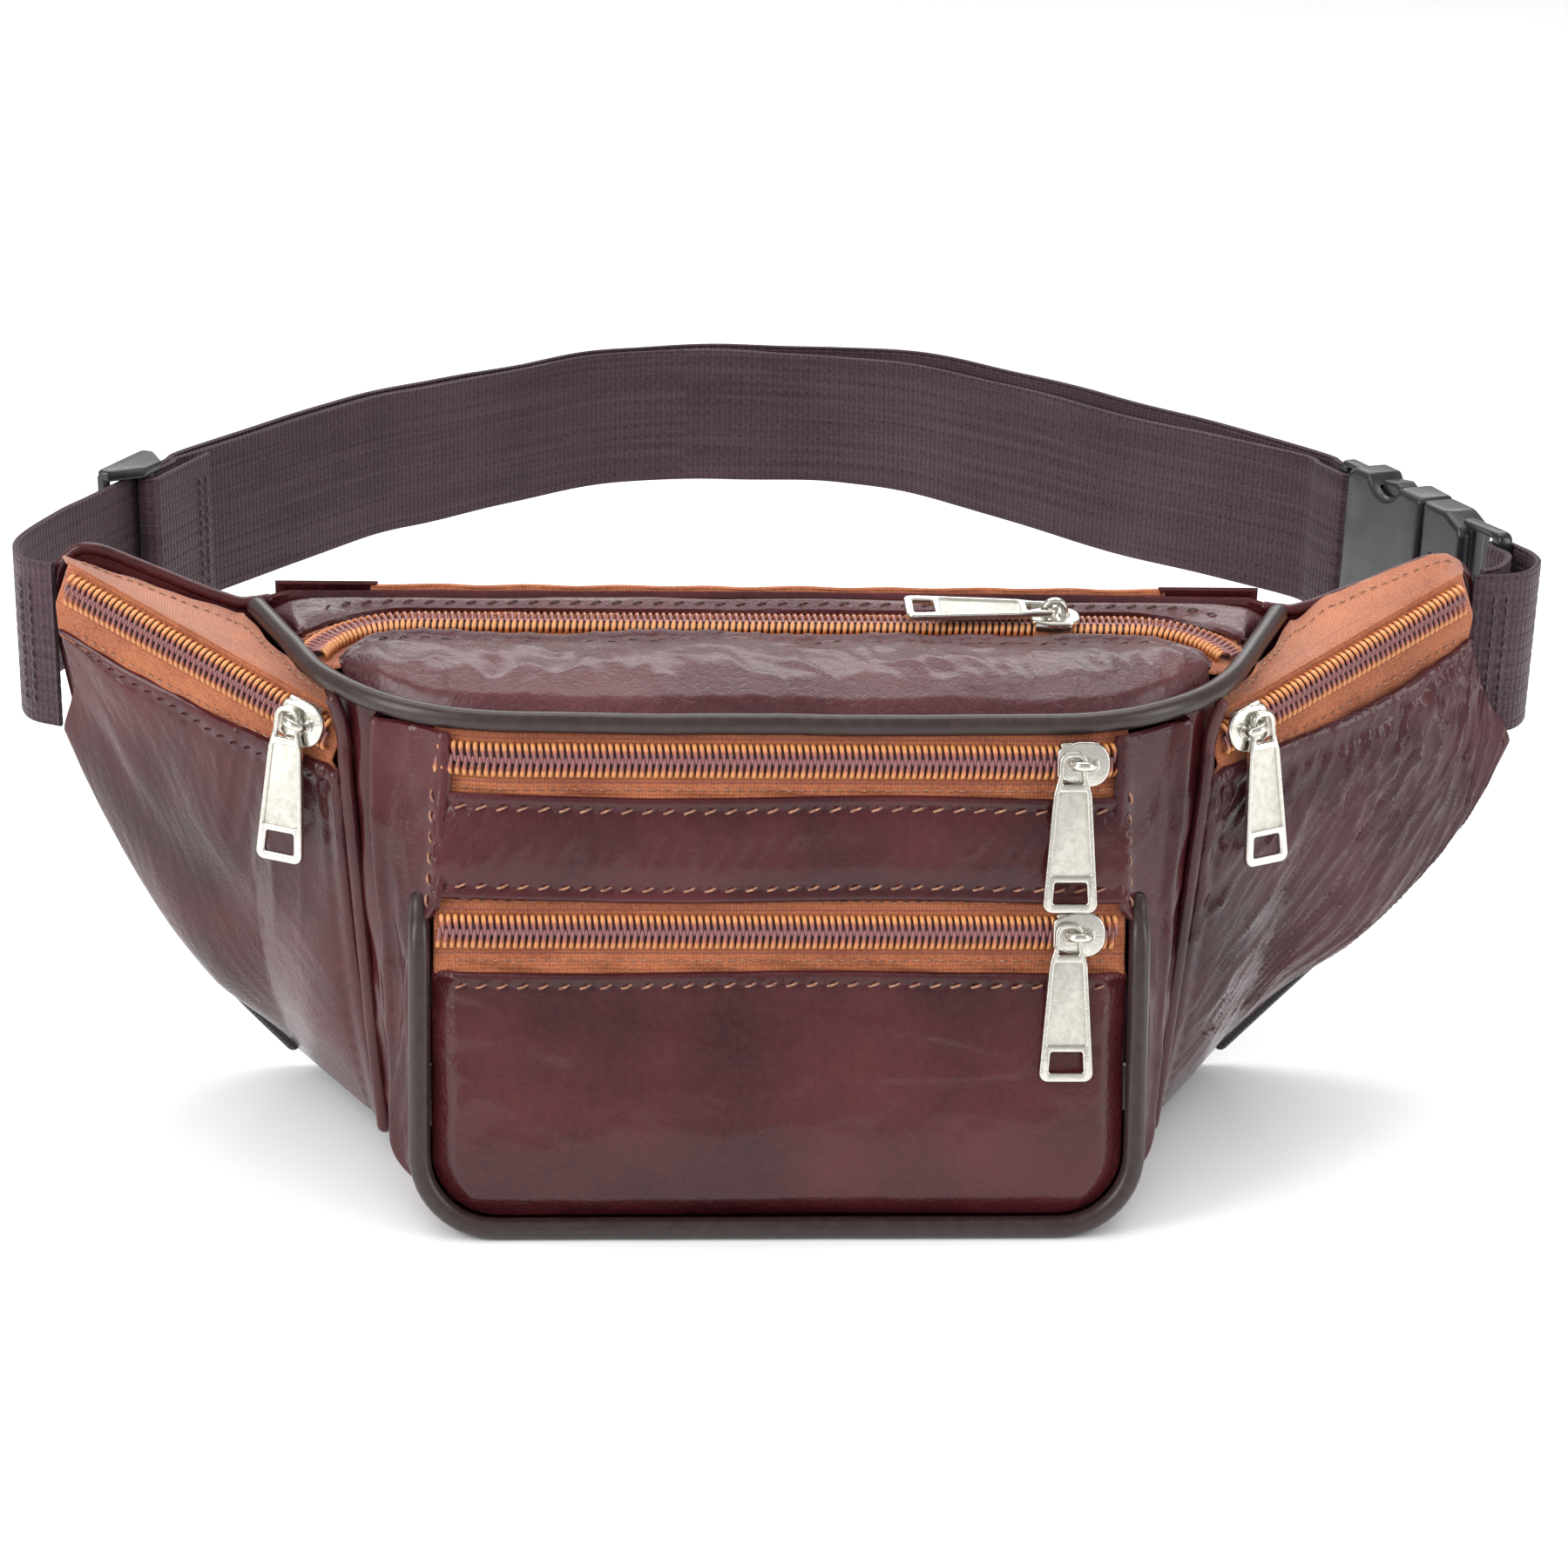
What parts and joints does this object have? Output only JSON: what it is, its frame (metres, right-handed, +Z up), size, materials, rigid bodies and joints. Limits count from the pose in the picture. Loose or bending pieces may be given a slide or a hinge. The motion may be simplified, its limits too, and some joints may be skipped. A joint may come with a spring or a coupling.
{
  "type": "waist pack",
  "caption": "Leather waist pack with zipped front, top, back and side pockets on an adjustable webbing belt with a side release buckle.",
  "frame": {"origin": "on the ground under the middle of the bag, where its base rests", "axes": "+X to the right as seen from the front, +Y from the front towards the wearer, +Z up"},
  "size_m": [0.347, 0.3058, 0.127],
  "materials": {
    "leather": "glossy burgundy leather",
    "binding": "matt black",
    "lining": "plain dark lining cloth",
    "piping": "satin dark grey vinyl",
    "zip_tape": "rust-orange woven tape",
    "zip_coil": "bronze nylon coil",
    "nickel": "pale nickel plate",
    "webbing": "ribbed brown-aubergine webbing",
    "buckle_plastic": "satin black"
  },
  "bodies": {
    "bag": {"back_panel": "leather", "back_pocket_panel": "leather", "back_binding": "binding", "back_tab_left": "leather", "back_tab_right": "leather", "base_panel": "leather", "gusset_left": "leather", "gusset_right": "leather", "front_divider": "lining", "front_strip": "leather", "front_pocket_panel": "leather", "front_piping": "piping", "top_panel": "leather", "top_rear_strip": "leather", "top_piping": "piping", "wing_panel_left": "leather", "wing_panel_right": "leather", "front_upper_tape": "zip_tape", "front_lower_tape": "zip_tape", "top_tape": "zip_tape", "back_tape": "zip_tape", "wing_left_tape": "zip_tape", "wing_right_tape": "zip_tape", "front_upper_coil": "zip_coil", "front_lower_coil": "zip_coil", "top_coil": "zip_coil", "back_coil": "zip_coil", "wing_left_coil": "zip_coil", "wing_right_coil": "zip_coil", "belt_outer": "webbing", "belt_inner": "webbing", "belt_give": "webbing", "belt_short": "webbing", "buckle_male": "buckle_plastic"},
    "front_upper_slider": {"front_upper_slider": "nickel"},
    "front_lower_slider": {"front_lower_slider": "nickel"},
    "top_slider": {"top_slider": "nickel"},
    "back_slider": {"back_slider": "nickel"},
    "wing_left_slider": {"wing_left_slider": "nickel"},
    "wing_right_slider": {"wing_right_slider": "nickel"},
    "front_upper_pull": {"front_upper_pull": "nickel"},
    "front_lower_pull": {"front_lower_pull": "nickel"},
    "top_pull": {"top_pull": "nickel"},
    "back_pull": {"back_pull": "nickel"},
    "wing_left_pull": {"wing_left_pull": "nickel"},
    "wing_right_pull": {"wing_right_pull": "nickel"},
    "belt_adjuster": {"triglide": "buckle_plastic", "belt_fold": "webbing"},
    "buckle_female_end": {"buckle_female": "buckle_plastic", "belt_loop": "webbing"},
    "prong_upper": {"prong_upper": "buckle_plastic"},
    "prong_lower": {"prong_lower": "buckle_plastic"}
  },
  "joints": [
    {"name": "front_upper_zip_slide", "type": "slide", "parent": "bag", "child": "front_upper_slider", "axis": [-1, 0, 0], "range_m": [0, 0.12]},
    {"name": "front_upper_pull_swing", "type": "hinge", "parent": "front_upper_slider", "child": "front_upper_pull", "pos_m": [0.0598, -0.03426, 0.10073], "axis": [0, 0.9779, -0.2092], "range_deg": [-20, 80]},
    {"name": "front_lower_zip_slide", "type": "slide", "parent": "bag", "child": "front_lower_slider", "axis": [-1, 0, 0], "range_m": [0, 0.12]},
    {"name": "front_lower_pull_swing", "type": "hinge", "parent": "front_lower_slider", "child": "front_lower_pull", "pos_m": [0.0598, -0.04179, 0.06552], "axis": [0, 0.9779, -0.2092], "range_deg": [-20, 80]},
    {"name": "top_zip_slide", "type": "slide", "parent": "bag", "child": "top_slider", "axis": [-1, 0, 0], "range_m": [0, 0.12]},
    {"name": "top_pull_flip", "type": "hinge", "parent": "top_slider", "child": "top_pull", "pos_m": [0.062, 0.02016, 0.11767], "axis": [0, 0.9937, 0.1122], "range_deg": [0, 170]},
    {"name": "back_zip_slide", "type": "slide", "parent": "bag", "child": "back_slider", "axis": [1, 0, 0], "range_m": [0, 0.15]},
    {"name": "back_pull_swing", "type": "hinge", "parent": "back_slider", "child": "back_pull", "pos_m": [-0.0758, 0.042, 0.1115], "axis": [0, -1, 0], "range_deg": [-20, 80]},
    {"name": "wing_left_zip_slide", "type": "slide", "parent": "bag", "child": "wing_left_slider", "axis": [-0.8267, 0.4724, 0.3057], "range_m": [0, 0.046]},
    {"name": "wing_left_pull_swing", "type": "hinge", "parent": "wing_left_slider", "child": "wing_left_pull", "pos_m": [-0.10405, -0.00957, 0.10144], "axis": [0.4484, 0.8813, -0.1494], "range_deg": [-5, 80]},
    {"name": "wing_right_zip_slide", "type": "slide", "parent": "bag", "child": "wing_right_slider", "axis": [0.8267, 0.4724, 0.3057], "range_m": [0, 0.046]},
    {"name": "wing_right_pull_swing", "type": "hinge", "parent": "wing_right_slider", "child": "wing_right_pull", "pos_m": [0.10405, -0.00957, 0.10144], "axis": [0.4484, -0.8813, 0.1494], "range_deg": [-5, 80]},
    {"name": "belt_adjust_slide", "type": "slide", "parent": "bag", "child": "belt_adjuster", "axis": [-0.3673, -0.9301, 0], "range_m": [0, 0.022]},
    {"name": "buckle_release", "type": "slide", "parent": "bag", "child": "buckle_female_end", "axis": [-0.3247, 0.9458, 0], "range_m": [0, 0.034], "deforming": ["belt_give", "prong_upper", "prong_lower"]},
    {"name": "prong_upper_press", "type": "hinge", "parent": "bag", "child": "prong_upper", "pos_m": [0.16134, 0.08506, 0.116], "axis": [-0.9458, -0.3247, 0], "range_deg": [0, 8], "stiffness_Nm_per_rad": 0.3},
    {"name": "prong_lower_press", "type": "hinge", "parent": "bag", "child": "prong_lower", "pos_m": [0.16134, 0.08506, 0.092], "axis": [0.9458, 0.3247, 0], "range_deg": [0, 8], "stiffness_Nm_per_rad": 0.3}
  ]
}
